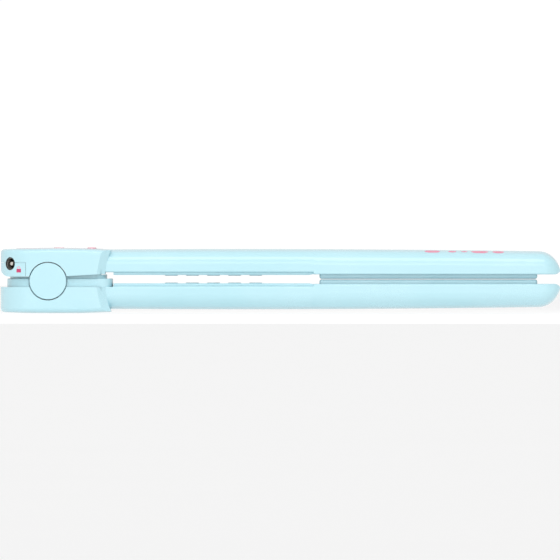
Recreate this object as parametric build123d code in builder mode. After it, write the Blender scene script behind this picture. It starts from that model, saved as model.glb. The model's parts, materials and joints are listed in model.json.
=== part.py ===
from build123d import *
import math
import os

# Cordless hair straightener: two arms on a rear hinge, each with a sprung heating plate.
# +X points to the tips, +Y across, +Z up. The origin is under the middle of the whole iron.

os.makedirs("parts", exist_ok=True)

# ---- Overall sizes, mm ----
head_length = 56.5         # hinge head, rear face to shoulder
handle_length = 105.4      # shoulder to the heating plates
plate_length = 110.5
tip_length = 11.6          # nose in front of the plates
head_width = 38.0
head_height = 33.0
arm_width = 30.0
plate_width = 25.0

# ---- Head ----
rear_round = 17.0          # depth of the rounded rear end in plan
head_rim_round = 2.0
foot_flat = 0.15           # crown cut away to leave a flat under the head
head_crown_length = 560.0  # radius of the crown along the head
head_crown_width = 240.0   # radius of the crown across the head
shoulder_radius = 40.6     # concave shoulder, seen from the side
meeting_rise = 0.7         # meeting plane of the plates above half the head's height
head_drop = 2.1            # the head's underside below the arm's underside
shoulder_depth = 3.5       # how far the shoulder curves back into the head
lower_head_rim = 4.0       # lower head's rim below the meeting plane
upper_head_rim = 1.3       # upper head's rear rim above the meeting plane
rim_climb = 1.6            # how far the upper rim climbs towards the shoulder
rim_start = 0.2            # its rise behind the hinge caps
rear_corner = 4.4          # rounded rear lower corner of the upper head

# ---- Arms ----
wall = 1.8
arm_crown = 2.4            # rise of an arm's back across its width
arm_swell = 1.4            # arms thicken slightly along the handle
arm_taper = 2.47           # and then thin towards the tip
back_round = 8.0           # soft round between an arm's flank and its back
rim_round = 0.8
arm_root = 6.0             # how far an arm runs into the head
cavity_end = 1.6           # hollow in front of the plates
handle_rim = 3.5           # shell rim to the meeting plane along the handle
plate_rim = 2.4            # and beside the plates
nose_depth = 11.0          # length of the rounded nose in side view
nose_corner = 9.0          # corner radius of the nose in plan
nose_under = 3.0           # small radius under the nose
nose_flat = 0.3
crown_share = 0.3          # most of a section's depth that its crown takes in the nose
rim_share = 0.2            # and most of the flank that each of its rounds takes
back_share = 0.7
rim_step_back = 3.0        # handle rim steps down to the plate rim behind the plates

# ---- Hinge ----
hinge_setback = 24.2       # hinge axis in front of the rear face
hinge_below = 1.0          # hinge axis below the meeting plane
cap_radius = 9.3
cap_clearance = 0.5
cap_thickness = 1.6
cap_edge = 0.4
cap_end_gap = 0.3          # behind a cap pushed right in
hub_clearance = 0.4
lock_travel = 1.5
axle_radius = 3.0
running_clearance = 0.06
rod_radius = 2.0
bush_wall = 0.9
bush_flange = 0.6
bush_flange_width = 1.0
bracket_steel = 1.2
lower_ear_y = 8.4          # middle of each lower bracket ear
upper_ear_y = 6.2
ring_steel = 0.6
ring_width = 1.5
ring_groove = 0.4
ring_play = 0.1
ring_mouth = 2.6           # open side of a retaining ring
axle_end = 1.6             # axle outside the lower ears
spring_wire = 1.0
spring_turns = 6
spring_clearance = 0.5     # round the axle
spring_side_gap = 0.3

# ---- Hinge block ----
block_side_gap = 2.4       # block inside the head's flank
block_rear_gap = 3.3
block_wall = 2.8
block_height = 4.3
block_reach = 0.5          # block in front of the shoulder
block_front_round = 8.0
lip_inset = 1.4            # inner lip that fills the gap under the upper head
lip_front_inset = 3.0
lip_wall = 1.4
lip_lap = 0.4              # how far the lip's front stands inside the upper head
lip_gap = 0.25             # lip's step below the solid shoulder

# ---- Inner covers ----
cover_face = 2.1           # cover face to the meeting plane
cover_sheet = 1.6
cover_skirt = 3.0
cover_rear_gap = 0.4
cover_front_gap = 0.6
cover_flare = 4.5          # the cover's front end slopes back over this length
cover_flare_depth = 1.0
fit_gap = 0.15
bump_count = 5
bump_pitch = 10.7
bump_length = 6.6
bump_width = 15.0
bump_rise = 0.35
bump_taper = 30.0
first_bump = 30.2          # first bump in front of the shoulder
rear_screw = 5.8           # rear cover screw in front of the shoulder
front_screw = 9.9          # front cover screw behind the plates
screw_head_radius = 2.0
screw_head_depth = 1.1
screw_radius = 1.1
screw_sink = 0.1
screw_slot = 0.5           # width of the crossed slots
screw_slot_edge = 0.7      # plain metal at each end of a slot
screw_slot_share = 0.6     # slot depth as a share of the head
cover_screw_length = 6.0
boss_radius = 2.6
boss_floor = 0.6           # solid end of a screw boss

# ---- Batteries ----
battery_width = 22.0
battery_thickness = 6.6
battery_lift = 0.4         # off the inner cover
battery_gap = 2.0          # to the screw boss at each end
battery_corner = 2.0
battery_edge = 1.4

# ---- Plate units ----
plate_gap = 0.15           # plate face to the meeting plane
plate_wall = 1.5
plate_depth = 5.0
plate_edge = 1.2
heater_width = 14.0
heater_thickness = 2.2
heater_end = 12.0          # bare plate at each end of the heater
carrier_depth = 3.0
carrier_floor = 1.0
carrier_end = 6.0          # solid end of the carrier in front of a spring
float_spring_radius = 2.1
float_spring_wire = 0.4
float_spring_turns = 4
float_spring_end = 14.0    # springs in from each end of the plate
float_spring_side = 6.5
spring_seat_wall = 0.8

# ---- Controls on top of the head ----
panel_rear = 8.0           # panel behind here is bare shell
panel_front = 4.5
panel_width = 17.0
panel_thickness = 0.8
panel_proud = 0.12
power_x = 29.6             # from the rear face
mode_x = 46.3
power_radius = 2.8
mode_radius = 2.3
button_gap = 0.15
button_proud = 0.3
button_travel = 0.5
button_edge = 0.35
lamp_pitch = 3.0
lamp_radius = 0.7
lamp_count = 3
lamp_sink = 0.1
board_thickness = 1.0
board_lift = 0.6           # above the hinge bracket
board_corner = 1.5
board_notch = 0.4          # clearance round a screw boss
board_width = 22.0
switch_size = 4.6
switch_height = 1.8
plunger_height = 0.5
plunger_radius = 1.0

# ---- Charging socket ----
socket_angle = 45.0        # position round the rear corner
socket_height = 7.85       # above the meeting plane
socket_radius = 3.25
socket_depth = 10.5
socket_floor = 1.0
socket_bore = 2.75
socket_pin_radius = 1.05
socket_sleeve = 0.25
sleeve_recess = 0.6
cover_top = 8.4            # top seam of the rear cover above the meeting plane
cover_front = 13.0         # its front seam, from the rear face
cover_tongue = 1.2         # lip of the rear cover behind the upper shell's wall
tongue_reach = 1.8

root_depth = 0.6           # how far a moulded boss runs into the wall it stands on
crown_allowance = 0.8      # head's inner roof below its crown
panel_bed = 0.5            # panel recess below the crown
spring_height = 3.4
block_edge_round = 0.5
cover_edge_round = 0.6
cover_rib = 1.2            # thickness of the inner cover's skirt
sensor_radius = 1.0
sensor_gap = 1.5           # clear of the plate's end wall and of the heater
lead_side = 4.5
lead_radius = 0.7
lead_drop = 1.2            # below the spring seats
lead_end = 2.5             # inside the plate's rear wall
bracket_length = 18.0
bracket_corner = 2.0
bracket_margin = 0.4
lower_base_height = 5.0    # underside of the lower bracket above the ground
upper_base_depth = 7.4     # underside of the upper bracket below the head's top
bracket_screw_along = 6.2
bracket_screw_side = 11.4
ear_root = 7.0
ear_radius = 5.2
bracket_screw_length = 3.6
upper_screw_shorter = 1.0
hub_depth = 3.0
hub_wall = 1.6
skirt_drop = 5.0           # hinge block's cheeks inside the lower head
board_margin = 5.0
socket_pin_recess = 0.8
socket_pin_edge = 0.4
over_cut = 1.0             # how far a cut runs past what it cuts

# ---- Places worked out from the sizes ----
overall_length = head_length + handle_length + plate_length + tip_length
x_rear = -overall_length / 2
x_shoulder = x_rear + head_length
x_plate = x_shoulder + handle_length
x_plate_end = x_plate + plate_length
x_tip = overall_length / 2
x_hinge = x_rear + hinge_setback
z_mid = head_height / 2 + meeting_rise
z_hinge = z_mid - hinge_below
z_low_rim = z_mid - lower_head_rim
z_up_rim = z_mid + upper_head_rim
arm_half = z_mid - head_drop
half_head = head_width / 2
half_arm = arm_width / 2
half_plate = plate_width / 2
x_arm_start = x_shoulder - arm_root
x_cover = x_shoulder + block_reach + cover_rear_gap
x_cover_end = x_plate - cover_front_gap
x_rear_screw = x_shoulder + rear_screw
x_front_screw = x_plate - front_screw
meeting_plane = Plane.XY.offset(z_mid)


def side_plane(y):
    """Plane facing -Y at a given y, with its x along X and its y along Z."""
    return Plane(origin=(0, y, 0), x_dir=(1, 0, 0), z_dir=(0, -1, 0))


def cross_plane(x):
    """Plane across the iron at x, with its x along Y and its y up from the meeting plane."""
    return Plane(origin=(x, 0, z_mid), x_dir=(0, 1, 0), z_dir=(1, 0, 0))


def mirrored(shape):
    """The same shape on the other arm."""
    return shape.mirror(meeting_plane)


def write(builder, name):
    """Label a finished sub-part and save it."""
    builder.part.label = name
    export_step(builder.part, f"parts/{name}.step")


# ---- Outer forms ----
def arm_back(x):
    """Height of an arm's back above the meeting plane."""
    along = (x - x_shoulder) / (x_tip - x_shoulder)
    height = arm_half + arm_swell * along - arm_taper * along ** 2
    to_tip = x_tip + nose_flat - x
    if to_tip < nose_depth:
        height = plate_rim + (height - plate_rim) * math.sqrt(1 - (1 - to_tip / nose_depth) ** 2)
    return height


def arm_side(x):
    """Half width of an arm in plan."""
    to_tip = x_tip + nose_flat - x
    if to_tip < nose_corner:
        return half_arm - nose_corner + math.sqrt(nose_corner ** 2 - (nose_corner - to_tip) ** 2)
    return half_arm


def arm_rim(x):
    """Height of the rim above the meeting plane beside the plates and under the nose."""
    to_tip = x_tip + nose_flat - x
    if to_tip < nose_under:
        return plate_rim + nose_under - math.sqrt(nose_under ** 2 - (nose_under - to_tip) ** 2)
    return plate_rim


def arm_section(x, rim):
    """Cross-section of the upper arm's outside, as a sketch."""
    side = arm_side(x)
    top = arm_back(x)
    depth = top - rim
    crown = min(arm_crown * (side / half_arm) ** 2, crown_share * depth)
    flank = depth - crown
    with BuildSketch(cross_plane(x)) as section:
        with BuildLine():
            Polyline((-side, top - crown), (-side, rim), (side, rim), (side, top - crown))
            ThreePointArc((side, top - crown), (0, top), (-side, top - crown))
        make_face()
        corners = section.vertices().sort_by(Axis.Y)
        fillet(corners[:2], min(rim_round, rim_share * flank))
        corners = section.vertices().sort_by(Axis.Y)
        fillet(corners[-2:], min(back_round, back_share * flank))
    return section.sketch


def arm_body():
    """Outside of the upper arm, solid: handle, barrel beside the plates, and nose."""
    x_step = x_plate - rim_step_back
    x_nose = x_tip - nose_depth
    handle = [x_arm_start, (x_arm_start + x_step) / 2, x_step]
    barrel = [x_step, (x_step + x_nose) / 2, x_nose]
    with BuildPart() as body:
        loft(sections=[arm_section(x, handle_rim) for x in handle])
        loft(sections=[arm_section(x, plate_rim) for x in barrel])
        for first, last in ((0, 45), (45, 90)):
            turns = [first + (last - first) * step / 4 for step in range(5)]
            nose = [x_tip - nose_depth * (1 - math.sin(math.radians(turn))) for turn in turns]
            loft(sections=[arm_section(x, arm_rim(x)) for x in nose])
    return body.part


def arm_cavity():
    """Hollow of the upper arm, open at its rim and closed towards the tip."""
    with BuildPart() as hollow:
        for x in (x_arm_start - wall, x_plate, x_plate_end + cavity_end):
            top = arm_back(x) - wall
            side = half_arm - wall
            with BuildSketch(cross_plane(x)) as section:
                with BuildLine():
                    Polyline((-side, top - arm_crown), (-side, 0), (side, 0), (side, top - arm_crown))
                    ThreePointArc((side, top - arm_crown), (0, top), (-side, top - arm_crown))
                make_face()
                fillet(section.vertices().group_by(Axis.Y)[-1], back_round - wall)
        loft()
    return hollow.part


def head_plan(side_gap, rear_gap, x_front):
    """Plan outline of the head, as a sketch."""
    centre = x_rear + rear_round
    half = half_head - side_gap
    with BuildSketch() as plan:
        with BuildLine():
            EllipticalCenterArc((centre, 0), rear_round - rear_gap, half, start_angle=90, arc_size=180)
            Polyline((centre, -half), (x_front, -half), (x_front, half), (centre, half))
        make_face()
    return plan.sketch


def head_body():
    """Outside of the whole head, solid, with its concave shoulder."""
    x_crown = x_rear + head_length / 2
    reach = half_head + over_cut
    sag = head_crown_width - math.sqrt(head_crown_width ** 2 - reach ** 2)
    shoulder_centre = x_shoulder - shoulder_depth + shoulder_radius
    flare = reach - half_arm
    with BuildPart() as body:
        with BuildSketch(Plane.XY):
            add(head_plan(0, 0, x_shoulder + over_cut))
        extrude(amount=head_height)
        for z_top, turn in ((head_height, 1), (-foot_flat, -1)):
            z_axis = z_top - turn * head_crown_length
            with BuildSketch(Plane(origin=(x_crown, 0, 0), x_dir=(0, 1, 0), z_dir=(1, 0, 0))):
                with BuildLine():
                    Polyline((-reach, z_top - turn * sag), (-reach, z_axis), (reach, z_axis),
                             (reach, z_top - turn * sag))
                    ThreePointArc((reach, z_top - turn * sag), (0, z_top), (-reach, z_top - turn * sag))
                make_face()
            revolve(axis=Axis((x_crown, 0, z_axis), (0, 1, 0)), mode=Mode.INTERSECT)
        rims = body.edges().filter_by(
            lambda edge: abs(edge.center().Z - head_height / 2) > head_height / 2 - head_rim_round - over_cut
            and (abs(edge.center().Y) > half_head - over_cut or edge.center().X < x_rear + over_cut))
        fillet(rims, head_rim_round)
        with BuildSketch(Plane.XY.offset(head_height / 2)):
            with BuildLine():
                Polyline((shoulder_centre, reach),
                         (shoulder_centre - shoulder_radius - flare, reach),
                         (shoulder_centre - shoulder_radius, half_arm),
                         (shoulder_centre - shoulder_radius, -half_arm),
                         (shoulder_centre - shoulder_radius - flare, -reach),
                         (shoulder_centre, -reach), close=True)
            make_face()
        revolve(axis=Axis((shoulder_centre, 0, head_height / 2), (0, 1, 0)), mode=Mode.SUBTRACT)
        with BuildSketch(Plane.XY):
            Rectangle(2 * overall_length, 2 * head_width)
        extrude(amount=-over_cut, mode=Mode.SUBTRACT)
    return body.part


def head_cavity():
    """Hollow of the whole head."""
    roof = wall + crown_allowance
    with BuildPart() as hollow:
        with BuildSketch(Plane.XY.offset(roof)):
            add(head_plan(wall, wall, x_shoulder - shoulder_depth - wall))
        extrude(amount=head_height - 2 * roof)
    return hollow.part


climb_start = x_hinge + cap_radius
climb_end = x_shoulder + 2 * over_cut


def climbing_rim(x):
    """Height of the upper head's rim in front of the hinge caps."""
    return z_up_rim + rim_start + (rim_climb - rim_start) * (x - climb_start) / (climb_end - climb_start)


def above_upper_rim():
    """Side view of everything above the upper head's rim, as a sketch."""
    behind = x_rear - over_cut
    with BuildSketch() as profile:
        with BuildLine():
            RadiusArc((x_rear, z_up_rim + rear_corner), (x_rear + rear_corner, z_up_rim), -rear_corner)
            Polyline((x_rear + rear_corner, z_up_rim), (climb_start, climbing_rim(climb_start)),
                     (climb_end, climbing_rim(climb_end)), (climb_end, head_height + over_cut),
                     (behind, head_height + over_cut), (behind, z_up_rim + rear_corner),
                     (x_rear, z_up_rim + rear_corner))
        make_face()
    return profile.sketch


arm_outside = arm_body()
arm_inside = arm_cavity()
head_outside = head_body()
head_inside = head_cavity()


def screw_boss(x, y, z_from, z_to):
    """Round boss with a blind hole for a self-tapping screw, upper arm, heights from the meeting plane."""
    with BuildPart() as boss:
        with BuildSketch(meeting_plane.offset(z_from)):
            with Locations((x, y)):
                Circle(boss_radius)
        extrude(amount=z_to - z_from)
        with BuildSketch(meeting_plane.offset(z_from)):
            with Locations((x, y)):
                Circle(screw_radius)
        extrude(amount=z_to - z_from - boss_floor, mode=Mode.SUBTRACT)
    return boss.part


z_boss = cover_face + cover_sheet
cover_screw_places = [x_rear_screw, x_front_screw]
float_spring_places = [
    (x, y)
    for x in (x_plate + float_spring_end, x_plate_end - float_spring_end)
    for y in (-float_spring_side, float_spring_side)
]
z_carrier_back = plate_gap + plate_wall + heater_thickness + carrier_depth
z_spring_seat = z_carrier_back + spring_height


def arm_fittings():
    """Bosses and spring seats moulded inside the upper arm's shell."""
    with BuildPart() as fittings:
        for x in cover_screw_places:
            add(screw_boss(x, 0, z_boss, arm_back(x) - wall + root_depth))
        for x, y in float_spring_places:
            with BuildSketch(meeting_plane.offset(z_spring_seat)):
                with Locations((x, y)):
                    Circle(float_spring_radius + spring_seat_wall)
            extrude(amount=arm_back(x) - wall + root_depth - z_spring_seat)
    return fittings.part


bracket_screw_places = [
    (x_hinge + dx, dy)
    for dx in (-bracket_screw_along, bracket_screw_along)
    for dy in (-bracket_screw_side, bracket_screw_side)
]
z_lower_base = lower_base_height
z_upper_base = head_height - upper_base_depth
z_roof = head_height - wall - crown_allowance
cap_hole = cap_radius + cap_clearance
z_board = z_upper_base + bracket_steel + board_lift
block_front = x_shoulder + block_reach

fittings_inside = arm_fittings()


def cap_bore(radius, y_from, y_to):
    """Cylinder along the hinge axis between two y values."""
    with BuildPart() as bore:
        with BuildSketch(side_plane(y_to)):
            with Locations((x_hinge, z_hinge)):
                Circle(radius)
        extrude(amount=y_to - y_from)
    return bore.part


def hinge_region(z_from, height):
    """Block of space over the head and the hinge block's reach in front of it."""
    with BuildPart() as region:
        with BuildSketch(Plane.XY.offset(z_from)):
            with Locations((x_rear - over_cut, 0)):
                Rectangle(block_front + fit_gap - x_rear + over_cut, 2 * head_width,
                          align=(Align.MIN, Align.CENTER))
        extrude(amount=height)
    return region.part


# ---- Lower shell ----
with BuildPart() as lower_shell:
    add(head_outside)
    add(mirrored(arm_outside))
    add(hinge_region(z_low_rim, head_height), mode=Mode.SUBTRACT)
    add(head_inside, mode=Mode.SUBTRACT)
    add(mirrored(arm_inside), mode=Mode.SUBTRACT)
    add(cap_bore(cap_hole, -head_width, head_width), mode=Mode.SUBTRACT)
    add(mirrored(fittings_inside))
    with BuildSketch(Plane.XY.offset(wall)):
        with Locations(*bracket_screw_places):
            Circle(boss_radius)
            Circle(screw_radius, mode=Mode.SUBTRACT)
    extrude(amount=z_lower_base - wall)
write(lower_shell, "lower_shell")

# ---- Upper shell, with its rear cover parted off ----
socket_normal = Vector(-math.cos(math.radians(socket_angle)), -math.sin(math.radians(socket_angle)), 0)
socket_x = x_rear + rear_round * (1 - math.cos(math.radians(socket_angle)))
socket_y = -half_head * math.sin(math.radians(socket_angle))
z_socket = z_mid + socket_height
socket_face = Plane(origin=(socket_x, socket_y, z_socket), x_dir=(0, 0, 1), z_dir=-socket_normal)
z_cover_top = z_mid + cover_top
x_cover_front = x_rear + cover_front
panel_from = x_rear + panel_rear
panel_to = x_shoulder - panel_front
x_panel = (panel_from + panel_to) / 2
z_panel_floor = head_height - panel_thickness - panel_bed
x_power = x_rear + power_x
x_mode = x_rear + mode_x
x_lamps = (x_power + x_mode) / 2
lamp_places = [(x_lamps + (i - (lamp_count - 1) / 2) * lamp_pitch, 0) for i in range(lamp_count)]
button_places = [(x_power, power_radius), (x_mode, mode_radius)]


def upper_head():
    """Upper head with its cavity, before the rear cover is parted off."""
    with BuildPart() as head:
        add(head_outside)
        with BuildSketch(side_plane(head_width)):
            add(above_upper_rim())
        extrude(amount=2 * head_width, mode=Mode.INTERSECT)
    return head.part


def socket_tunnel(radius, depth):
    """Cylinder from outside the rear corner inwards, for the charging socket."""
    with BuildPart() as bore:
        with BuildSketch(socket_face.offset(-rear_round)):
            Circle(radius)
        extrude(amount=depth + rear_round)
    return bore.part


def panel_outline(gap):
    """Outline of the control panel on the head's top, as a sketch."""
    with BuildSketch() as outline:
        with Locations((x_panel, 0)):
            SlotOverall(panel_to - panel_from + 2 * gap, panel_width + 2 * gap)
    return outline.sketch


def rear_band(gap):
    """Space taken by the rear cover: the head's wall behind its front seam and under its top seam."""
    with BuildPart() as band:
        with BuildSketch(Plane.XY.offset(z_up_rim - over_cut)):
            with Locations((x_cover_front - gap, 0)):
                Rectangle(cover_front + over_cut, 2 * head_width, align=(Align.MAX, Align.CENTER))
        extrude(amount=z_cover_top - gap - z_up_rim + over_cut)
    return band.part


with BuildPart() as upper_shell:
    add(upper_head())
    add(arm_outside)
    add(head_inside, mode=Mode.SUBTRACT)
    add(arm_inside, mode=Mode.SUBTRACT)
    add(cap_bore(cap_hole, -head_width, head_width), mode=Mode.SUBTRACT)
    add(rear_band(0), mode=Mode.SUBTRACT)
    add(socket_tunnel(socket_radius + fit_gap / 2, socket_depth), mode=Mode.SUBTRACT)
    with BuildSketch(Plane.XY.offset(z_panel_floor)):
        add(panel_outline(fit_gap))
    extrude(amount=head_height, mode=Mode.SUBTRACT)
    with BuildSketch(Plane.XY.offset(z_panel_floor - wall - over_cut)):
        for x, radius in button_places:
            with Locations((x, 0)):
                Circle(radius + button_gap)
        with Locations(*lamp_places):
            Circle(lamp_radius + button_gap)
    extrude(amount=wall + 2 * over_cut, mode=Mode.SUBTRACT)
    add(fittings_inside)
    with BuildSketch(Plane.XY.offset(z_upper_base + bracket_steel)):
        with Locations(*bracket_screw_places):
            Circle(boss_radius)
            Circle(screw_radius, mode=Mode.SUBTRACT)
    extrude(amount=z_roof + root_depth - z_upper_base - bracket_steel)
write(upper_shell, "upper_shell")

with BuildPart() as upper_rear_cover:
    add(upper_head())
    add(rear_band(fit_gap), mode=Mode.INTERSECT)
    add(head_inside, mode=Mode.SUBTRACT)
    with BuildSketch(Plane.XY.offset(z_cover_top - 1.5 * tongue_reach)):
        add(head_plan(wall, wall, x_shoulder))
        add(head_plan(wall + cover_tongue, wall + cover_tongue, x_shoulder + over_cut), mode=Mode.SUBTRACT)
        with Locations((x_cover_front - 2 * fit_gap, 0)):
            Rectangle(head_length, head_width, align=(Align.MIN, Align.CENTER), mode=Mode.SUBTRACT)
    extrude(amount=2.5 * tongue_reach)
    add(socket_tunnel(socket_radius + fit_gap / 2, socket_depth), mode=Mode.SUBTRACT)
write(upper_rear_cover, "upper_rear_cover")

# ---- Hinge block: a frame on the lower head that the upper head closes over ----
def block_plan(inset, front_inset):
    """Plan of the hinge block set in from its outside, as a sketch."""
    with BuildSketch() as plan:
        add(head_plan(block_side_gap + inset, block_rear_gap + inset, block_front - front_inset))
        fillet(plan.vertices().group_by(Axis.X)[-1], block_front_round - inset)
    return plan.sketch


def above_lip():
    """Side view of the space above the block's inner lip, as a sketch."""
    behind = x_rear - over_cut
    step = x_shoulder - shoulder_depth - wall - lip_gap
    with BuildSketch() as profile:
        with BuildLine():
            Polyline((behind, z_up_rim), (x_hinge, z_up_rim),
                     (climb_start, climbing_rim(climb_start) + lip_lap),
                     (step, climbing_rim(step) + lip_lap), (step, climbing_rim(step) - lip_gap),
                     (climb_end, climbing_rim(climb_end) - lip_gap), (climb_end, head_height + over_cut),
                     (behind, head_height + over_cut), close=True)
        make_face()
    return profile.sketch


with BuildPart() as hinge_block:
    with BuildSketch(Plane.XY.offset(z_low_rim)):
        add(block_plan(0, 0))
    extrude(amount=block_height)
    fillet(hinge_block.faces().sort_by(Axis.Z)[-1].edges(), block_edge_round)
    with BuildSketch(Plane.XY.offset(z_low_rim)):
        add(block_plan(lip_inset, lip_front_inset))
    extrude(amount=head_height / 2)
    with BuildSketch(Plane.XY.offset(z_low_rim)):
        add(block_plan(block_wall, lip_front_inset + lip_wall))
    extrude(amount=head_height, mode=Mode.SUBTRACT)
    with BuildSketch(side_plane(head_width)):
        add(above_lip())
    extrude(amount=2 * head_width, mode=Mode.SUBTRACT)
    for side in (-1, 1):
        with BuildSketch(Plane.XY.offset(z_low_rim)):
            with Locations((x_hinge, side * (half_head - block_side_gap - block_wall / 2))):
                Rectangle(2 * cap_radius, block_wall)
        extrude(amount=-skirt_drop)
    recess = half_head - cap_thickness - lock_travel - cap_end_gap
    add(cap_bore(rod_radius + hub_wall + hub_clearance, -head_width, head_width), mode=Mode.SUBTRACT)
    add(cap_bore(cap_hole, recess, head_width), mode=Mode.SUBTRACT)
    add(cap_bore(cap_hole, -head_width, -recess), mode=Mode.SUBTRACT)
write(hinge_block, "hinge_block")


# ---- Parts that both arms have: made for the upper arm, mirrored for the lower ----
def inner_cover():
    """Inner cover of a handle, with its grip bumps and sunk screw seats."""
    side = half_arm - wall - fit_gap
    with BuildPart() as cover:
        with BuildSketch(meeting_plane.offset(cover_face)):
            with Locations((x_cover, 0)):
                Rectangle(x_cover_end - x_cover, 2 * side, align=(Align.MIN, Align.CENTER))
        extrude(amount=cover_sheet + cover_skirt)
        long_edges = cover.edges().filter_by(Axis.X).group_by(Axis.Z)[0]
        fillet(long_edges, cover_edge_round)
        with BuildSketch(meeting_plane.offset(cover_face + cover_sheet)):
            with Locations((x_cover + wall, 0)):
                Rectangle(x_cover_end - x_cover - 2 * wall, 2 * (side - cover_rib),
                          align=(Align.MIN, Align.CENTER))
        extrude(amount=cover_skirt, mode=Mode.SUBTRACT)
        with BuildSketch(side_plane(side)):
            with BuildLine():
                Polyline((x_cover_end - cover_flare, z_mid + cover_face),
                         (x_cover_end, z_mid + cover_face + cover_flare_depth),
                         (x_cover_end, z_mid + cover_face), close=True)
            make_face()
        extrude(amount=2 * side, mode=Mode.SUBTRACT)
        for i in range(bump_count):
            with BuildSketch(meeting_plane.offset(cover_face)):
                with Locations((x_shoulder + first_bump + i * bump_pitch, 0)):
                    SlotOverall(bump_width, bump_length, rotation=90)
            extrude(amount=-bump_rise, taper=bump_taper)
        for x in cover_screw_places:
            with BuildSketch(meeting_plane.offset(cover_face)):
                with Locations((x, 0)):
                    Circle(screw_head_radius + fit_gap)
            extrude(amount=screw_head_depth + screw_sink, mode=Mode.SUBTRACT)
            with BuildSketch(meeting_plane.offset(cover_face)):
                with Locations((x, 0)):
                    Circle(screw_radius + fit_gap)
            extrude(amount=cover_sheet, mode=Mode.SUBTRACT)
    return cover.part


def screws(places, head_plane, length, turn):
    """Pan-head screws with crossed slots; turn is the way the shanks point along the plane's normal."""
    slot_length = 2 * (screw_head_radius - screw_slot_edge)
    with BuildPart() as fasteners:
        with BuildSketch(head_plane):
            with Locations(*places):
                Circle(screw_head_radius)
        extrude(amount=turn * screw_head_depth)
        with BuildSketch(head_plane.offset(turn * screw_head_depth)):
            with Locations(*places):
                Circle(screw_radius)
        extrude(amount=turn * length)
        with BuildSketch(head_plane):
            with Locations(*places):
                Rectangle(slot_length, screw_slot)
                Rectangle(screw_slot, slot_length)
        extrude(amount=turn * screw_head_depth * screw_slot_share, mode=Mode.SUBTRACT)
    return fasteners.part


def battery():
    """Flat battery cell between the two cover screws."""
    x_from = x_rear_screw + boss_radius + battery_gap
    x_to = x_front_screw - boss_radius - battery_gap
    low = cover_face + cover_sheet + battery_lift
    with BuildPart() as cell:
        with BuildSketch(meeting_plane.offset(low)):
            with Locations(((x_from + x_to) / 2, 0)):
                RectangleRounded(x_to - x_from, battery_width, battery_corner)
        extrude(amount=battery_thickness)
        fillet(cell.faces().group_by(Axis.Z)[-1].edges(), battery_edge)
    return cell.part


def plate():
    """Aluminium heating plate, a shallow tray open at its back."""
    with BuildPart() as tray:
        with BuildSketch(meeting_plane.offset(plate_gap)):
            with Locations((x_plate, 0)):
                Rectangle(plate_length, plate_width, align=(Align.MIN, Align.CENTER))
        extrude(amount=plate_depth)
        fillet(tray.edges().filter_by(Axis.Z), plate_edge)
        fillet(tray.faces().sort_by(Axis.Z)[0].edges(), plate_edge)
        with BuildSketch(meeting_plane.offset(plate_gap + plate_wall)):
            with Locations((x_plate + plate_wall, 0)):
                Rectangle(plate_length - 2 * plate_wall, plate_width - 2 * plate_wall,
                          align=(Align.MIN, Align.CENTER))
        extrude(amount=plate_depth, mode=Mode.SUBTRACT)
    return tray.part


def heater():
    """Flat ceramic heater on the back of the plate."""
    with BuildPart() as strip:
        with BuildSketch(meeting_plane.offset(plate_gap + plate_wall)):
            with Locations((x_plate + plate_length / 2, 0)):
                Rectangle(plate_length - 2 * heater_end, heater_width)
        extrude(amount=heater_thickness)
    return strip.part


def plate_carrier():
    """Heat-proof carrier that holds the heater against the plate."""
    side = half_plate - plate_wall - fit_gap
    low = plate_gap + plate_wall + heater_thickness
    with BuildPart() as carrier:
        with BuildSketch(meeting_plane.offset(low)):
            with Locations((x_plate + plate_length / 2, 0)):
                Rectangle(plate_length - 2 * plate_wall - 2 * fit_gap, 2 * side)
        extrude(amount=carrier_depth)
        with BuildSketch(meeting_plane.offset(low + carrier_floor)):
            with Locations((x_plate + plate_length / 2, 0)):
                Rectangle(plate_length - 2 * (float_spring_end + carrier_end), heater_width)
        extrude(amount=carrier_depth, mode=Mode.SUBTRACT)
    return carrier.part


def heat_sensor():
    """Temperature sensor pressed against the plate behind the heater."""
    with BuildPart() as bead:
        with BuildSketch(Plane.YZ.offset(x_plate + plate_wall + sensor_gap)):
            with Locations((0, z_mid + plate_gap + plate_wall + sensor_radius)):
                Circle(sensor_radius)
        extrude(amount=heater_end - plate_wall - 2 * sensor_gap)
    return bead.part


def float_springs():
    """Four springs that press the plate towards the other arm."""
    low = z_carrier_back + float_spring_wire / 2
    height = spring_height - float_spring_wire
    pitch = height / float_spring_turns
    with BuildPart() as springs:
        for x, y in float_spring_places:
            base = z_mid + low
            with BuildLine() as coil:
                Helix(pitch, height, float_spring_radius, center=(x, y, base))
            with BuildSketch(Plane(origin=coil.line @ 0, z_dir=coil.line % 0)):
                Circle(float_spring_wire / 2)
            sweep(path=coil.line)
    return springs.part


def leads():
    """Two insulated leads from the battery to the heater."""
    z_lead = z_mid + z_spring_seat - lead_drop
    x_from = x_front_screw - boss_radius - battery_gap
    x_to = x_plate + plate_wall + lead_end
    with BuildPart() as wires:
        with BuildSketch(Plane.YZ.offset(x_from)):
            with Locations((lead_side, z_lead), (-lead_side, z_lead)):
                Circle(lead_radius)
        extrude(amount=x_to - x_from)
    return wires.part


shared_parts = {
    "inner_cover": inner_cover(),
    "cover_screws": screws([(x, 0) for x in cover_screw_places],
                           meeting_plane.offset(cover_face + screw_sink), cover_screw_length, 1),
    "battery": battery(),
    "plate": plate(),
    "heater": heater(),
    "plate_carrier": plate_carrier(),
    "heat_sensor": heat_sensor(),
    "plate_springs": float_springs(),
    "battery_leads": leads(),
}

for name, shape in shared_parts.items():
    with BuildPart() as upper_one:
        add(shape)
    write(upper_one, f"upper_{name}")
    with BuildPart() as lower_one:
        add(mirrored(shape))
    write(lower_one, f"lower_{name}")


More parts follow.
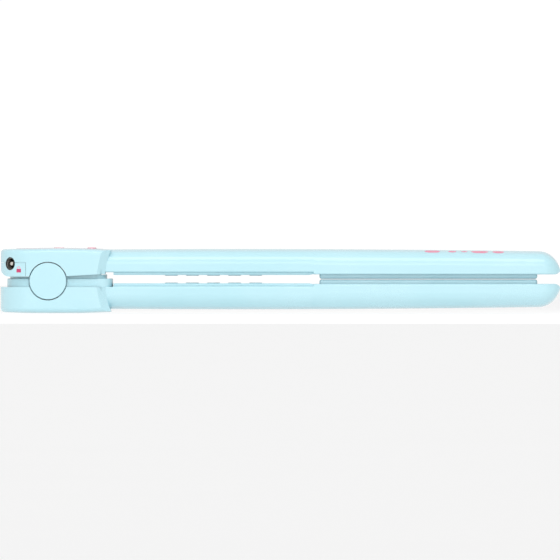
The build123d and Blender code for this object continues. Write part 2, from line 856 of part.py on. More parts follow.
# ---- Hinge: steel brackets, axle, bushes, rings, spring ----
def bracket(z_base, ear_y, bore, turn):
    """Steel bracket: base on the bosses and two ears round the hinge axis; turn is the ears' way."""
    bracket_width = 2 * (bracket_screw_side + boss_radius + bracket_margin)
    with BuildPart() as steel:
        with BuildSketch(Plane.XY.offset(z_base)):
            with Locations((x_hinge, 0)):
                RectangleRounded(bracket_length, bracket_width, bracket_corner)
            with Locations(*bracket_screw_places):
                Circle(screw_radius + fit_gap, mode=Mode.SUBTRACT)
        extrude(amount=bracket_steel)
        for side in (-1, 1):
            with BuildSketch(side_plane(side * ear_y + bracket_steel / 2)):
                with BuildLine():
                    z_root = z_base + (bracket_steel if turn < 0 else 0)
                    Polyline((x_hinge - ear_root, z_root), (x_hinge - ear_radius, z_hinge),
                             (x_hinge + ear_radius, z_hinge), (x_hinge + ear_root, z_root), close=True)
                make_face()
                with Locations((x_hinge, z_hinge)):
                    Circle(ear_radius)
                    Circle(bore, mode=Mode.SUBTRACT)
            extrude(amount=bracket_steel)
    return steel.part


bush_radius = axle_radius + running_clearance + bush_wall
half_axle = lower_ear_y + bracket_steel / 2 + axle_end

with BuildPart() as lower_hinge_bracket:
    add(bracket(z_lower_base, lower_ear_y, axle_radius, 1))
write(lower_hinge_bracket, "lower_hinge_bracket")

with BuildPart() as upper_hinge_bracket:
    add(bracket(z_upper_base, upper_ear_y, bush_radius, -1))
write(upper_hinge_bracket, "upper_hinge_bracket")

with BuildPart() as lower_bracket_screws:
    head_seat = Plane.XY.offset(z_lower_base + bracket_steel + screw_head_depth)
    add(screws(bracket_screw_places, head_seat, bracket_screw_length, -1))
write(lower_bracket_screws, "lower_bracket_screws")

with BuildPart() as upper_bracket_screws:
    head_seat = Plane.XY.offset(z_upper_base - screw_head_depth)
    add(screws(bracket_screw_places, head_seat, bracket_screw_length - upper_screw_shorter, 1))
write(upper_bracket_screws, "upper_bracket_screws")

groove_y = lower_ear_y + bracket_steel / 2 + ring_play
with BuildPart() as hinge_axle:
    add(cap_bore(axle_radius, -half_axle, half_axle))
    add(cap_bore(rod_radius + running_clearance, -half_axle, half_axle), mode=Mode.SUBTRACT)
    for y in (groove_y, -groove_y - ring_steel):
        around = cap_bore(axle_radius + over_cut, y, y + ring_steel)
        core = cap_bore(axle_radius - ring_groove, y, y + ring_steel)
        add(around - core, mode=Mode.SUBTRACT)
write(hinge_axle, "hinge_axle")

with BuildPart() as retaining_rings:
    for y in (groove_y, -groove_y - ring_steel):
        with BuildSketch(side_plane(y + ring_steel)):
            with Locations((x_hinge, z_hinge)):
                Circle(axle_radius + ring_width)
                Circle(axle_radius - ring_groove, mode=Mode.SUBTRACT)
            with Locations((x_hinge, z_hinge)):
                Rectangle(ring_mouth, 2 * axle_radius, align=(Align.CENTER, Align.MAX), mode=Mode.SUBTRACT)
        extrude(amount=ring_steel)
write(retaining_rings, "retaining_rings")

with BuildPart() as hinge_bushes:
    for side in (-1, 1):
        inner = side * (upper_ear_y - bracket_steel / 2)
        outer = side * (upper_ear_y + bracket_steel / 2)
        low_y = min(inner, outer)
        flange_y = outer if side > 0 else outer - bush_flange
        add(cap_bore(bush_radius, low_y, low_y + bracket_steel))
        add(cap_bore(bush_radius + bush_flange_width, flange_y, flange_y + bush_flange))
    add(cap_bore(axle_radius + running_clearance, -half_axle, half_axle), mode=Mode.SUBTRACT)
write(hinge_bushes, "hinge_bushes")

with BuildPart() as hinge_spring:
    coil_radius = axle_radius + spring_clearance + spring_wire / 2
    coil_length = 2 * (upper_ear_y - bracket_steel - spring_side_gap) - spring_wire
    with BuildLine() as coil:
        Helix(coil_length / spring_turns, coil_length, coil_radius,
              center=(x_hinge, -coil_length / 2, z_hinge), direction=(0, 1, 0))
    with BuildSketch(Plane(origin=coil.line @ 0, z_dir=coil.line % 0)):
        Circle(spring_wire / 2)
    sweep(path=coil.line)
write(hinge_spring, "hinge_spring")


# ---- Hinge caps with the lock rod ----
def hinge_cap(side):
    """Round cap flush with the head's flank on one side, with a hub for the rod."""
    face = side * half_head
    back = side * (half_head - cap_thickness)
    hub = side * (half_head - cap_thickness - hub_depth)
    with BuildPart() as cap:
        add(cap_bore(cap_radius, min(face, back), max(face, back)))
        rim = cap.faces().sort_by(Axis.Y)[-1 if side > 0 else 0].edges()
        fillet(rim, cap_edge)
        add(cap_bore(rod_radius + hub_wall, min(back, hub), max(back, hub)))
        add(cap_bore(rod_radius, min(back, hub), max(back, hub)), mode=Mode.SUBTRACT)
    return cap.part


with BuildPart() as near_hinge_cap:
    add(hinge_cap(-1))
write(near_hinge_cap, "near_hinge_cap")

with BuildPart() as far_hinge_cap:
    add(hinge_cap(1))
write(far_hinge_cap, "far_hinge_cap")

with BuildPart() as lock_rod:
    rod_half = half_head - cap_thickness
    add(cap_bore(rod_radius, -rod_half, rod_half))
write(lock_rod, "lock_rod")

# ---- Controls ----
with BuildPart() as control_panel:
    with BuildSketch(Plane.XY.offset(z_panel_floor)):
        add(panel_outline(0))
        for x, radius in button_places:
            with Locations((x, 0)):
                Circle(radius + button_gap, mode=Mode.SUBTRACT)
        with Locations(*lamp_places):
            Circle(lamp_radius, mode=Mode.SUBTRACT)
    extrude(amount=head_height - z_panel_floor + over_cut)
    add(head_outside.moved(Location((0, 0, panel_proud))), mode=Mode.INTERSECT)
write(control_panel, "control_panel")

with BuildPart() as indicator_lamps:
    with BuildSketch(Plane.XY.offset(z_board + board_thickness)):
        with Locations(*lamp_places):
            Circle(lamp_radius)
    extrude(amount=head_height - lamp_sink - z_board - board_thickness)
write(indicator_lamps, "indicator_lamps")

with BuildPart() as control_board:
    with BuildSketch(Plane.XY.offset(z_board)):
        with Locations(((x_power + x_mode) / 2, 0)):
            RectangleRounded(x_mode - x_power + 2 * board_margin, board_width, board_corner)
        with Locations(*[place for place in bracket_screw_places if place[0] > x_hinge]):
            Circle(boss_radius + board_notch, mode=Mode.SUBTRACT)
    extrude(amount=board_thickness)
write(control_board, "control_board")

z_switch_top = z_board + board_thickness + switch_height
with BuildPart() as tact_switches:
    for x, radius in button_places:
        with BuildSketch(Plane.XY.offset(z_board + board_thickness)):
            with Locations((x, 0)):
                Rectangle(switch_size, switch_size)
        extrude(amount=switch_height - plunger_height)
        with BuildSketch(Plane.XY.offset(z_switch_top - plunger_height)):
            with Locations((x, 0)):
                Circle(plunger_radius)
        extrude(amount=plunger_height)
write(tact_switches, "tact_switches")


def button(x, radius):
    """Push button standing a little above the panel."""
    with BuildPart() as cap:
        with BuildSketch(Plane.XY.offset(z_switch_top + button_travel + running_clearance)):
            with Locations((x, 0)):
                Circle(radius)
        extrude(amount=head_height + button_proud - z_switch_top - button_travel - running_clearance)
        fillet(cap.faces().sort_by(Axis.Z)[-1].edges(), button_edge)
    return cap.part


for name, (x, radius) in zip(("power_button", "mode_button"), button_places):
    with BuildPart() as push_button:
        add(button(x, radius))
    write(push_button, name)

# ---- Charging socket ----
with BuildPart() as socket_body:
    with BuildSketch(socket_face):
        Circle(socket_radius)
        Circle(socket_bore + socket_sleeve, mode=Mode.SUBTRACT)
    extrude(amount=socket_depth - socket_floor)
    with BuildSketch(socket_face.offset(socket_depth - socket_floor)):
        Circle(socket_radius)
    extrude(amount=socket_floor)
write(socket_body, "socket_body")

with BuildPart() as socket_sleeve_ring:
    with BuildSketch(socket_face.offset(sleeve_recess)):
        Circle(socket_bore + socket_sleeve)
        Circle(socket_bore, mode=Mode.SUBTRACT)
    extrude(amount=socket_depth - socket_floor - sleeve_recess)
write(socket_sleeve_ring, "socket_sleeve")

with BuildPart() as socket_pin:
    with BuildSketch(socket_face.offset(socket_pin_recess)):
        Circle(socket_pin_radius)
    extrude(amount=socket_depth - socket_floor - socket_pin_recess)
    fillet(socket_pin.edges().sort_by(Axis.X)[0], socket_pin_edge)
write(socket_pin, "socket_pin")
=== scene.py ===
import json
import math

import bmesh
import bpy
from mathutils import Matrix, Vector
from mathutils.bvhtree import BVHTree


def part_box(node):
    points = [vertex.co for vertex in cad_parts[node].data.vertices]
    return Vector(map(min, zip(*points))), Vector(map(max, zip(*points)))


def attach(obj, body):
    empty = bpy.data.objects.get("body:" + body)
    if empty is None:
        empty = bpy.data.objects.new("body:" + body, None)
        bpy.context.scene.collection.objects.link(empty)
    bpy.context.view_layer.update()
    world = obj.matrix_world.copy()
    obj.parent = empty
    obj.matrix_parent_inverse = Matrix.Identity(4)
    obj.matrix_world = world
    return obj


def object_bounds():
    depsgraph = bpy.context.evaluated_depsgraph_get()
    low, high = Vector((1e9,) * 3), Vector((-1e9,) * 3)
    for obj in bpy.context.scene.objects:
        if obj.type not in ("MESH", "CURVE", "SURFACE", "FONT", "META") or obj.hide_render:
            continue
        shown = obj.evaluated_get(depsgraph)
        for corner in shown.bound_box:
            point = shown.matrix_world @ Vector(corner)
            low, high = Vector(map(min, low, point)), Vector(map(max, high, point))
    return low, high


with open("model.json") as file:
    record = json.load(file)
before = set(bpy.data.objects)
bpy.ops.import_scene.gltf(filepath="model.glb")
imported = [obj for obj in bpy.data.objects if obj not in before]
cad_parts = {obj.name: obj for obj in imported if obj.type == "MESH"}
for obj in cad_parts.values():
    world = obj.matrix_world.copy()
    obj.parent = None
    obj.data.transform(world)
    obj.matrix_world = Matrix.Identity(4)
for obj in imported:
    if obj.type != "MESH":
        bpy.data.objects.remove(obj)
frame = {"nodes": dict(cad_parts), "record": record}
cad_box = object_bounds()

# Places that everything else hangs on, in metres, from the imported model.
X, Y, Z = 0, 1, 2
MM = 0.001
PER_MM = 1000
cap_low, cap_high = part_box("near_hinge_cap")
hinge_x = (cap_low[X] + cap_high[X]) / 2
hinge_z = (cap_low[Z] + cap_high[Z]) / 2


def top_of(node_name):
    """Middle of the top of a node's box."""
    low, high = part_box(node_name)
    return (low[X] + high[X]) / 2, high[Z]


# ---- Shader maths ----
class Wire:
    """A node's output socket that can stand in an expression."""

    def __init__(self, net, socket):
        self.net = net
        self.socket = socket

    def maths(self, operation, first, second=0.0):
        return self.net.node("Math", {"operation": operation}, {0: first, 1: second})

    def __add__(self, other):
        return self.maths("ADD", self, other)

    def __radd__(self, other):
        return self.maths("ADD", other, self)

    def __sub__(self, other):
        return self.maths("SUBTRACT", self, other)

    def __rsub__(self, other):
        return self.maths("SUBTRACT", other, self)

    def __mul__(self, other):
        return self.maths("MULTIPLY", self, other)

    def __rmul__(self, other):
        return self.maths("MULTIPLY", other, self)


TEX_GENERATED, TEX_OBJECT = 0, 3
MIX_FIRST_COLOUR, MIX_SECOND_COLOUR, MIX_RESULT_COLOUR = 6, 7, 2


class Finish:
    """One material: its node tree, its shader and the calls that add nodes."""

    def __init__(self, name, **constants):
        self.material = bpy.data.materials.new(name)
        self.material.use_nodes = True
        self.tree = self.material.node_tree
        self.tree.nodes.clear()
        self.shader = self.tree.nodes.new("ShaderNodeBsdfPrincipled")
        end = self.tree.nodes.new("ShaderNodeOutputMaterial")
        self.tree.links.new(self.shader.outputs[0], end.inputs["Surface"])
        for socket, value in constants.items():
            self.shader.inputs[socket.replace("_", " ")].default_value = value

    def node(self, kind, settings=None, values=None, out=0):
        """Adds a node: its settings first, then the values or links of its sockets."""
        made = self.tree.nodes.new("ShaderNode" + kind)
        for setting, value in (settings or {}).items():
            setattr(made, setting, value)
        for socket, value in (values or {}).items():
            if isinstance(value, Wire):
                self.tree.links.new(value.socket, made.inputs[socket])
            else:
                made.inputs[socket].default_value = value
        return Wire(self, made.outputs[out])

    def place(self, stretch=(1, 1, 1)):
        """Position on the piece in millimetres, stretched along each axis."""
        spot = self.node("TexCoord", out=TEX_OBJECT)
        scale = tuple(PER_MM * share for share in stretch)
        return self.node("VectorMath", {"operation": "MULTIPLY"}, {0: spot, 1: scale})

    def noise(self, size, stretch=(1, 1, 1), detail=3.0, rough=0.5, distortion=0.0):
        """Noise from 0 to 1 whose spots are about size millimetres across."""
        values = {"Vector": self.place(stretch), "Scale": 1 / size, "Detail": detail,
                  "Roughness": rough, "Distortion": distortion}
        return self.node("TexNoise", None, values)

    def band(self, value, low, high):
        """Smooth step of a value from 0 at low to 1 at high."""
        settings = {"interpolation_type": "SMOOTHSTEP"}
        values = {"Value": value, "From Min": low, "From Max": high, "To Min": 0.0, "To Max": 1.0}
        return self.node("MapRange", settings, values)

    def mix(self, share, first, second):
        """Colour between two colours."""
        def full(colour):
            return colour if isinstance(colour, Wire) else (*colour, 1)
        values = {0: share, MIX_FIRST_COLOUR: full(first), MIX_SECOND_COLOUR: full(second)}
        return self.node("Mix", {"data_type": "RGBA"}, values, out=MIX_RESULT_COLOUR)

    def feed(self, socket, wire):
        self.tree.links.new(wire.socket, self.shader.inputs[socket])

    def bump(self, height, depth, strength=1.0):
        """Relief of the given depth in millimetres."""
        values = {"Height": height, "Distance": depth * MM, "Strength": strength}
        self.feed("Normal", self.node("Bump", None, values))


def scratches(finish, length=14.0, width=0.12):
    """Sparse fine hairline marks along the piece, from 0 to 1."""
    stretch = (1 / length, 1 / width, 1 / width)
    fine = finish.noise(1.0, stretch, detail=1.0)
    patches = finish.band(finish.noise(16.0), 0.45, 0.7)
    return finish.band(fine, 0.70, 0.78) * patches


# ---- Finishes ----
def gloss_shell(name="shell_plastic_gloss", tone=(0.46, 0.73, 0.80), warm=(0.49, 0.75, 0.82)):
    """Smooth pale aqua moulding with a soft gloss, faint flow marks and handling marks."""
    finish = Finish(name, Specular_IOR_Level=0.5, Coat_Roughness=0.06)
    cloud = finish.noise(38.0, detail=2.0)
    fine = finish.noise(0.55, detail=4.0, rough=0.6)
    marks = scratches(finish)
    colour = finish.mix(finish.band(cloud, 0.3, 0.7), tone, warm)
    speck = finish.band(finish.noise(0.8, detail=2.0), 0.74, 0.80)
    colour = finish.mix(speck * 0.10, colour, (0.42, 0.62, 0.66))
    finish.feed("Base Color", finish.mix(marks * 0.10, colour, (0.85, 0.95, 0.97)))
    finish.feed("Roughness", 0.20 + 0.07 * cloud + 0.05 * fine + 0.14 * marks)
    finish.feed("Coat Weight", 0.35 - 0.25 * marks)
    finish.bump(0.6 * fine + 0.4 * finish.noise(3.2, detail=2.0) - 0.3 * marks, 0.012, 0.35)
    return finish.material


def grip_shell():
    """The same aqua plastic on the inner covers, with a finer satin grain to hold by."""
    finish = Finish("inner_cover_satin", Specular_IOR_Level=0.5)
    cloud = finish.noise(30.0, detail=2.0)
    cells = finish.node("TexVoronoi", {"feature": "F1"}, {"Vector": finish.place(), "Scale": 2.6})
    rub = finish.band(finish.noise(9.0, (0.4, 1, 1), detail=3.0), 0.5, 0.75)
    colour = finish.mix(finish.band(cloud, 0.3, 0.7), (0.46, 0.72, 0.79), (0.50, 0.75, 0.82))
    finish.feed("Base Color", finish.mix(rub * 0.2, colour, (0.66, 0.88, 0.92)))
    finish.feed("Roughness", 0.42 - 0.12 * rub + 0.06 * cloud)
    finish.bump(cells, 0.03, 0.5)
    return finish.material


def plate_glaze():
    """Ceramic glaze on the heating plates: satin, polished along the run of the hair."""
    finish = Finish("plate_ceramic_glaze", Specular_IOR_Level=0.6, Coat_Roughness=0.12)
    brush = finish.noise(1.0, (0.05, 7.0, 7.0), detail=4.0, rough=0.6)
    cloud = finish.noise(22.0, detail=3.0)
    mica = finish.node("TexVoronoi", {"feature": "F1"}, {"Vector": finish.place(), "Scale": 5.0})
    flake = 1 - finish.band(mica, 0.04, 0.10)
    colour = finish.mix(finish.band(cloud, 0.3, 0.7), (0.36, 0.59, 0.66), (0.41, 0.63, 0.70))
    colour = finish.mix(brush * 0.25, colour, (0.48, 0.67, 0.72))
    finish.feed("Base Color", finish.mix(flake * 0.35, colour, (0.85, 0.93, 0.95)))
    finish.feed("Metallic", 0.12 + 0.3 * flake)
    finish.feed("Roughness", 0.24 + 0.16 * brush)
    finish.feed("Coat Weight", 0.3 - 0.1 * cloud)
    finish.bump(brush, 0.006, 0.4)
    return finish.material


def steel(name, light, dark, rough, along=None, stain=0.25):
    """Bare or plated steel with fine rolling lines, along one axis when one is given, and stains."""
    finish = Finish(name, Specular_IOR_Level=0.5)
    stretch = [6.0, 6.0, 6.0]
    if along is not None:
        stretch[along] = 0.15
    lines = finish.noise(1.0, stretch, detail=4.0, rough=0.65)
    cloud = finish.band(finish.noise(4.5, detail=4.0), 0.35, 0.75)
    colour = finish.mix(lines, dark, light)
    finish.feed("Base Color", finish.mix(cloud * stain, colour, tuple(0.6 * part for part in dark)))
    finish.feed("Metallic", 1.0 - 0.25 * cloud)
    finish.feed("Roughness", rough + 0.16 * lines + 0.12 * cloud)
    finish.bump(lines, 0.008, 0.5)
    return finish.material


def moulded(name, base, shade, rough, grain=0.5, depth=0.02, coat=0.0, fleck=None):
    """Moulded plastic or rubber: spark-eroded grain, soft clouding and scuffs."""
    finish = Finish(name, Specular_IOR_Level=0.5, Coat_Roughness=0.08)
    cloud = finish.noise(7.0, detail=3.0)
    fine = finish.noise(grain, detail=4.0, rough=0.6)
    scuff = scratches(finish, length=6.0, width=0.09)
    colour = finish.mix(finish.band(cloud, 0.3, 0.7), base, shade)
    if fleck:
        flecks = finish.band(finish.noise(0.35, detail=1.0), 0.62, 0.70)
        colour = finish.mix(flecks * 0.5, colour, fleck)
    lighter = tuple(min(1.0, 0.25 + 0.8 * part) for part in base)
    finish.feed("Base Color", finish.mix(scuff * 0.3, colour, lighter))
    finish.feed("Roughness", rough + 0.10 * fine + 0.12 * scuff)
    if coat:
        finish.feed("Coat Weight", coat - 0.3 * scuff)
    finish.bump(fine, depth, 0.5)
    return finish.material


def battery_film():
    """Shrink film round the cell: crinkled, with a paler seam along the cell."""
    finish = Finish("battery_shrink_film", Specular_IOR_Level=0.5, Coat_Roughness=0.2)
    crinkle = finish.noise(2.4, (0.5, 1, 1), detail=5.0, rough=0.6, distortion=0.6)
    across = finish.node("SeparateXYZ", None, {0: finish.place()}, out=Y)
    seam_place = 6.0
    from_seam = finish.node("Math", {"operation": "ABSOLUTE"}, {0: across - seam_place})
    seam = 1 - finish.band(from_seam, 0.8, 1.2)
    colour = finish.mix(crinkle, (0.03, 0.09, 0.24), (0.06, 0.15, 0.34))
    finish.feed("Base Color", finish.mix(seam * 0.7, colour, (0.5, 0.58, 0.68)))
    finish.feed("Roughness", 0.25 + 0.25 * crinkle)
    finish.feed("Coat Weight", 0.4 - 0.2 * seam)
    finish.bump(crinkle, 0.12, 0.6)
    return finish.material


def laminate():
    """Circuit board: solder mask over a tracery of copper."""
    finish = Finish("board_solder_mask", Specular_IOR_Level=0.5, Coat_Roughness=0.15)
    cells = finish.node("TexVoronoi", {"feature": "DISTANCE_TO_EDGE", "distance": "CHEBYCHEV"},
                        {"Vector": finish.place((1, 1, 0.05)), "Scale": 0.55})
    track = 1 - finish.band(cells, 0.03, 0.07)
    weave = finish.noise(0.3, detail=2.0)
    colour = finish.mix(track, (0.01, 0.13, 0.06), (0.05, 0.26, 0.11))
    finish.feed("Base Color", finish.mix(weave * 0.2, colour, (0.12, 0.2, 0.1)))
    finish.feed("Roughness", 0.28 + 0.15 * weave)
    finish.feed("Coat Weight", 0.5 + 0.2 * track)
    finish.bump(track, 0.035, 0.6)
    return finish.material


def pearl(name, base, sheen_tone, rough=0.16):
    """Pearl-effect gloss plastic with fine pigment flakes."""
    finish = Finish(name, Specular_IOR_Level=0.55, Coat_Roughness=0.05)
    flakes = finish.node("TexVoronoi", {"feature": "F1"}, {"Vector": finish.place(), "Scale": 7.0})
    glint = 1 - finish.band(flakes, 0.05, 0.14)
    swirl = finish.band(finish.noise(6.0, (0.4, 1, 1), detail=4.0, distortion=1.2), 0.3, 0.7)
    colour = finish.mix(swirl, base, sheen_tone)
    marks = scratches(finish, length=8.0, width=0.08)
    finish.feed("Base Color", finish.mix(glint * 0.4, colour, (0.95, 0.93, 0.94)))
    finish.feed("Metallic", 0.1 + 0.35 * glint)
    finish.feed("Roughness", rough + 0.08 * swirl + 0.15 * marks)
    finish.feed("Coat Weight", 0.6 - 0.3 * marks)
    finish.bump(finish.noise(0.6, detail=3.0), 0.01, 0.3)
    return finish.material


def ink(name, base, shade):
    """Pad-printed ink: slightly raised, a little uneven, with tiny voids."""
    finish = Finish(name, Specular_IOR_Level=0.4)
    film = finish.noise(0.7, detail=3.0)
    voids = finish.band(finish.noise(0.22, detail=2.0), 0.70, 0.76)
    colour = finish.mix(film, base, shade)
    finish.feed("Base Color", finish.mix(voids * 0.5, colour, (0.75, 0.88, 0.92)))
    finish.feed("Roughness", 0.34 + 0.2 * film)
    finish.bump(film, 0.01, 0.4)
    return finish.material


cover_satin = grip_shell()
finishes = {
    "shell_plastic": gloss_shell(),
    "screw_steel": steel("screw_nickel_plate", (0.74, 0.73, 0.71), (0.48, 0.47, 0.45), 0.22),
    "battery_wrap": battery_film(),
    "lead_insulation": moulded("lead_silicone", (0.55, 0.03, 0.03), (0.42, 0.02, 0.02), 0.5),
    "plate_coating": plate_glaze(),
    "heater_ceramic": moulded("heater_white_ceramic", (0.78, 0.77, 0.72), (0.66, 0.65, 0.60), 0.55,
                              grain=0.25),
    "carrier_plastic": moulded("carrier_glass_filled", (0.035, 0.035, 0.038), (0.055, 0.055, 0.06), 0.6,
                               fleck=(0.2, 0.2, 0.2)),
    "sensor_glass": moulded("sensor_amber_glass", (0.55, 0.33, 0.10), (0.42, 0.22, 0.06), 0.12, coat=0.6),
    "spring_steel": steel("spring_wire_steel", (0.55, 0.55, 0.57), (0.30, 0.30, 0.32), 0.24),
    "bracket_steel": steel("bracket_zinc_plate", (0.72, 0.73, 0.75), (0.45, 0.47, 0.50), 0.26, along=X),
    "bush_plastic": moulded("bush_acetal", (0.80, 0.79, 0.75), (0.70, 0.69, 0.65), 0.38),
    "panel_plastic": pearl("control_panel_pearl", (0.74, 0.66, 0.72), (0.82, 0.76, 0.80)),
    "button_plastic": pearl("button_rose_pearl", (0.80, 0.34, 0.44), (0.86, 0.46, 0.54), 0.2),
    "lamp_plastic": moulded("lamp_clear_guide", (0.85, 0.88, 0.88), (0.75, 0.80, 0.82), 0.12, coat=0.5),
    "board_laminate": laminate(),
    "switch_plastic": moulded("switch_black_moulding", (0.015, 0.015, 0.016), (0.03, 0.03, 0.03), 0.45),
    "socket_plastic": moulded("socket_black_moulding", (0.010, 0.011, 0.012), (0.02, 0.021, 0.023), 0.34),
    "contact_metal": steel("contact_nickel_plate", (0.86, 0.83, 0.78), (0.58, 0.55, 0.50), 0.12,
                           stain=0.12),
}
slot_of = {row["node"]: row["material_slot"] for row in frame["record"]["subparts"]}
for node_name, node in frame["nodes"].items():
    finish = finishes[slot_of[node_name]]
    if node_name.endswith("inner_cover"):
        finish = cover_satin
    node.data.materials.clear()
    node.data.materials.append(finish)


# ---- Printed marks, laid on the surface they are printed on ----
def surface_tree(node_name):
    mesh = frame["nodes"][node_name].data
    points = [vertex.co.copy() for vertex in mesh.vertices]
    return BVHTree.FromPolygons(points, [tuple(face.vertices) for face in mesh.polygons])


def arc_points(centre, radius, start, end, steps=24):
    """Points on an arc, angles in degrees."""
    turns = [math.radians(start + (end - start) * i / steps) for i in range(steps + 1)]
    return [(centre[0] + radius * math.cos(t), centre[1] + radius * math.sin(t)) for t in turns]


def pill(length, width, centre=(0.0, 0.0)):
    """Outline of a bar with round ends along the first axis."""
    half = (length - width) / 2
    right = arc_points((centre[0] + half, centre[1]), width / 2, -90, 90)
    left = arc_points((centre[0] - half, centre[1]), width / 2, 90, 270)
    return right + left


def ring_sector(centre, outer, inner, start, end):
    """Outline of a curved band."""
    return arc_points(centre, outer, start, end, 40) + arc_points(centre, inner, end, start, 40)


ink_thickness = 0.03 * MM
fine_grid, coarse_grid = 0.35 * MM, 0.6 * MM
drop_height = 30 * MM


def printed(name, outlines, origin, across, up, onto, material, body, slot, grid=fine_grid):
    """Flat outlines cut into small faces, dropped onto a surface and given the thickness of ink."""
    across, up = Vector(across), Vector(up)
    away = across.cross(up)
    surface = surface_tree(onto)
    mesh = bmesh.new()
    for outline in outlines:
        edge = [mesh.verts.new((x, y, 0)) for x, y in outline]
        mesh.faces.new(edge)
    bmesh.ops.triangulate(mesh, faces=mesh.faces[:])
    places = [[vertex.co[axis] for vertex in mesh.verts] for axis in (X, Y)]
    spans = [(min(row), max(row)) for row in places]
    for normal, (low, high) in zip((Vector((1, 0, 0)), Vector((0, 1, 0))), spans):
        cuts = int((high - low) / grid)
        for cut in range(1, cuts + 1):
            place = normal * (low + (high - low) * cut / (cuts + 1))
            every = mesh.verts[:] + mesh.edges[:] + mesh.faces[:]
            bmesh.ops.bisect_plane(mesh, geom=every, plane_co=place, plane_no=normal, dist=1e-7)
    origin = Vector(origin)
    for vertex in mesh.verts:
        spot = origin + across * vertex.co.x + up * vertex.co.y
        landing = surface.ray_cast(spot + away * drop_height, -away, 2 * drop_height)[0]
        vertex.co = landing + away * ink_thickness
    made = bpy.data.meshes.new(name)
    mesh.to_mesh(made)
    mesh.free()
    made.materials.append(material)
    piece = bpy.data.objects.new(name, made)
    bpy.context.scene.collection.objects.link(piece)
    solid = piece.modifiers.new("ink_thickness", "SOLIDIFY")
    solid.thickness = 0.8 * ink_thickness
    solid.offset = -1
    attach(piece, body)


magenta = ink("lock_mark_magenta", (0.60, 0.055, 0.16), (0.52, 0.04, 0.13))
rose = ink("lock_mark_rose", (0.84, 0.42, 0.52), (0.78, 0.36, 0.46))
blush = ink("arm_motif_rose", (0.82, 0.30, 0.42), (0.76, 0.24, 0.36))
white_ink = ink("symbol_white", (0.90, 0.90, 0.90), (0.82, 0.82, 0.84))
grey_ink = ink("panel_mark_grey", (0.25, 0.22, 0.26), (0.18, 0.16, 0.20))

FACING_SIDE = {"across": (1, 0, 0), "up": (0, 0, 1)}
FACING_UP = {"across": (1, 0, 0), "up": (0, 1, 0)}


def in_mm(outline):
    return [(x * MM, y * MM) for x, y in outline]


def rectangle(width, height, centre=(0.0, 0.0)):
    half_width, half_height = width / 2, height / 2
    corners = ((-1, -1), (1, -1), (1, 1), (-1, 1))
    return [(centre[0] + x * half_width, centre[1] + y * half_height) for x, y in corners]


def lock_sign():
    """Generic padlock beside the charging socket: body and shackle."""
    side = {"onto": "upper_rear_cover", "body": "upper_arm", "slot": "button_plastic", **FACING_SIDE}
    lock_spot = (hinge_x - 14.8 * MM, cap_low[Y], hinge_z + 5.3 * MM)
    printed("lock_sign_body", [in_mm(rectangle(2.3, 1.8))], lock_spot, material=magenta, **side)
    bow_outer, bow_inner, bow_height = 0.85, 0.5, 1.35
    bow = ring_sector((0, bow_height), bow_outer, bow_inner, 0, 180)
    leg_place = (bow_outer + bow_inner) / 2
    legs = [rectangle(bow_outer - bow_inner, 0.5, (x, 1.12)) for x in (-leg_place, leg_place)]
    shackle = [in_mm(outline) for outline in [bow, *legs]]
    printed("lock_sign_shackle", shackle, lock_spot, material=rose, **side)


def arm_motif():
    """Plain row of bars and dots on the near side of the upper arm's back."""
    bars_and_dots = [(73.2, 81.0), (85.2, 89.3), (91.8, 94.9), (96.9, 105.5), (107.6, 113.6)]
    bar_width, longest_dot = 5.2, 5.0
    near_side = -8.2 * MM
    height = top_of("upper_shell")[1]
    for number, (start, end) in enumerate(bars_and_dots):
        length = end - start
        dot = arc_points((0, 0), length / 2, 0, 345, 23)
        outline = pill(length, bar_width) if length > longest_dot else dot
        spot = ((start + end) / 2 * MM, near_side, height)
        printed(f"arm_motif_{number + 1}", [in_mm(outline)], spot, onto="upper_shell", material=blush,
                body="upper_arm", slot="button_plastic", **FACING_UP)


def button_signs():
    """Power sign on the large button, two chevrons on the small one, ticks beside the lamps."""
    power_x, power_top = top_of("power_button")
    ring = ring_sector((0, 0), 1.45, 1.15, 120, 420)
    bar = pill(1.5, 0.3)
    upright = [(y, x + 0.9) for x, y in bar]
    printed("power_sign", [in_mm(ring), in_mm(upright[::-1])], (power_x, 0, power_top),
            onto="power_button", material=white_ink, body="power_button", slot="panel_plastic",
            grid=coarse_grid, **FACING_UP)
    mode_x, mode_top = top_of("mode_button")
    half, stroke, reach = 0.75, 0.3, 0.65
    chevrons = [[(x, half), (x + stroke, half), (x + stroke + reach, 0), (x + stroke, -half), (x, -half),
                 (x + reach, 0)] for x in (-1.05, -0.05)]
    printed("mode_sign", [in_mm(chevron[::-1]) for chevron in chevrons], (mode_x, 0, mode_top),
            onto="mode_button", material=white_ink, body="mode_button", slot="panel_plastic",
            grid=coarse_grid, **FACING_UP)
    lamp_middle = top_of("indicator_lamps")[0]
    panel_top = top_of("control_panel")[1]
    lamp_pitch, beside_lamps = 3.0 * MM, 3.0 * MM
    for number in range(3):
        tick = pill(1.4 + 0.5 * number, 0.35)
        spot = (lamp_middle + (number - 1) * lamp_pitch, beside_lamps, panel_top)
        turned = [(y, x) for x, y in tick][::-1]
        printed(f"lamp_tick_{number + 1}", [in_mm(turned)], spot, onto="control_panel",
                material=grey_ink, body="upper_arm", slot="panel_plastic", grid=coarse_grid, **FACING_UP)


lock_sign()
arm_motif()
button_signs()

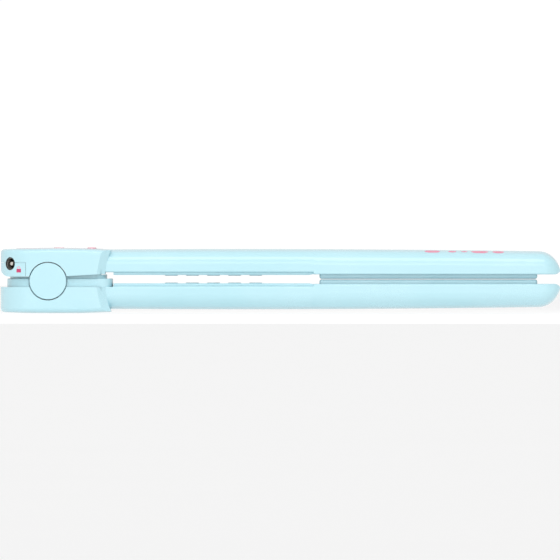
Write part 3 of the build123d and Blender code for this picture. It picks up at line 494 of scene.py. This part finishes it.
# ---- Floor, light and camera ----
floor_finish = Finish("studio_floor", Specular_IOR_Level=0.1, Emission_Strength=0.56)
floor_finish.shader.inputs["Emission Color"].default_value = (1, 1, 1, 1)
floor_finish.feed("Base Color", floor_finish.mix(floor_finish.noise(60.0), (0.40,) * 3, (0.42,) * 3))
floor_finish.feed("Roughness", 0.8 + 0.1 * floor_finish.noise(8.0))
floor_size = 80.0
under_model = 0.2 * MM
floor_place = (0, 0, cad_box[0][Z] - under_model)
bpy.ops.mesh.primitive_grid_add(x_subdivisions=2, y_subdivisions=2, size=floor_size, location=floor_place)
floor = bpy.context.object
floor.name = "studio_floor"
floor.data.materials.append(floor_finish.material)


class Sky(Finish):
    """The white studio all round: plain white as a backdrop, softer as a light."""

    def __init__(self, backdrop, side, above):
        self.world = bpy.data.worlds.new("studio")
        self.world.use_nodes = True
        self.tree = self.world.node_tree
        self.tree.nodes.clear()
        self.shader = self.tree.nodes.new("ShaderNodeBackground")
        end = self.tree.nodes.new("ShaderNodeOutputWorld")
        self.tree.links.new(self.shader.outputs[0], end.inputs["Surface"])
        height = self.node("SeparateXYZ", None, {0: self.node("TexCoord", out=TEX_GENERATED)}, out=Z)
        light = self.mix(self.band(height, 0.15, 0.9), (side,) * 3, (above,) * 3)
        self.feed("Color", self.mix(self.node("LightPath"), light, (backdrop,) * 3))


bpy.context.scene.world = Sky(1.03, 0.78, 0.80).world
bpy.context.scene.view_settings.view_transform = "Standard"


def softbox(name, place, aim, size, power):
    """Rectangular studio light aimed at a point."""
    lamp = bpy.data.lights.new(name, "AREA")
    lamp.shape = "RECTANGLE"
    lamp.size, lamp.size_y = size
    lamp.energy = power
    light = bpy.data.objects.new(name, lamp)
    light.location = place
    light.rotation_euler = (Vector(aim) - Vector(place)).to_track_quat("-Z", "Y").to_euler()
    bpy.context.scene.collection.objects.link(light)


middle = Vector([(low + high) / 2 for low, high in zip(*cad_box)])
softbox("key_light", (-0.15, -0.75, 0.95), middle, (1.3, 0.5), 5.0)
softbox("front_light", (-0.2, -1.8, 0.38), middle, (2.2, 0.5), 6.0)

camera_data = bpy.data.cameras.new("camera")
camera = bpy.data.objects.new("camera", camera_data)
bpy.context.scene.collection.objects.link(camera)
bpy.context.scene.camera = camera
view_distance = 8.0
view_width = 284.5 * MM
view_middle = (-0.15 * MM, 16.76 * MM)
camera_data.lens = camera_data.sensor_width * view_distance / view_width
camera_data.clip_end = floor_size + view_distance
camera.location = (view_middle[0], -view_distance, view_middle[1])
camera.rotation_euler = (math.radians(90), 0, 0)
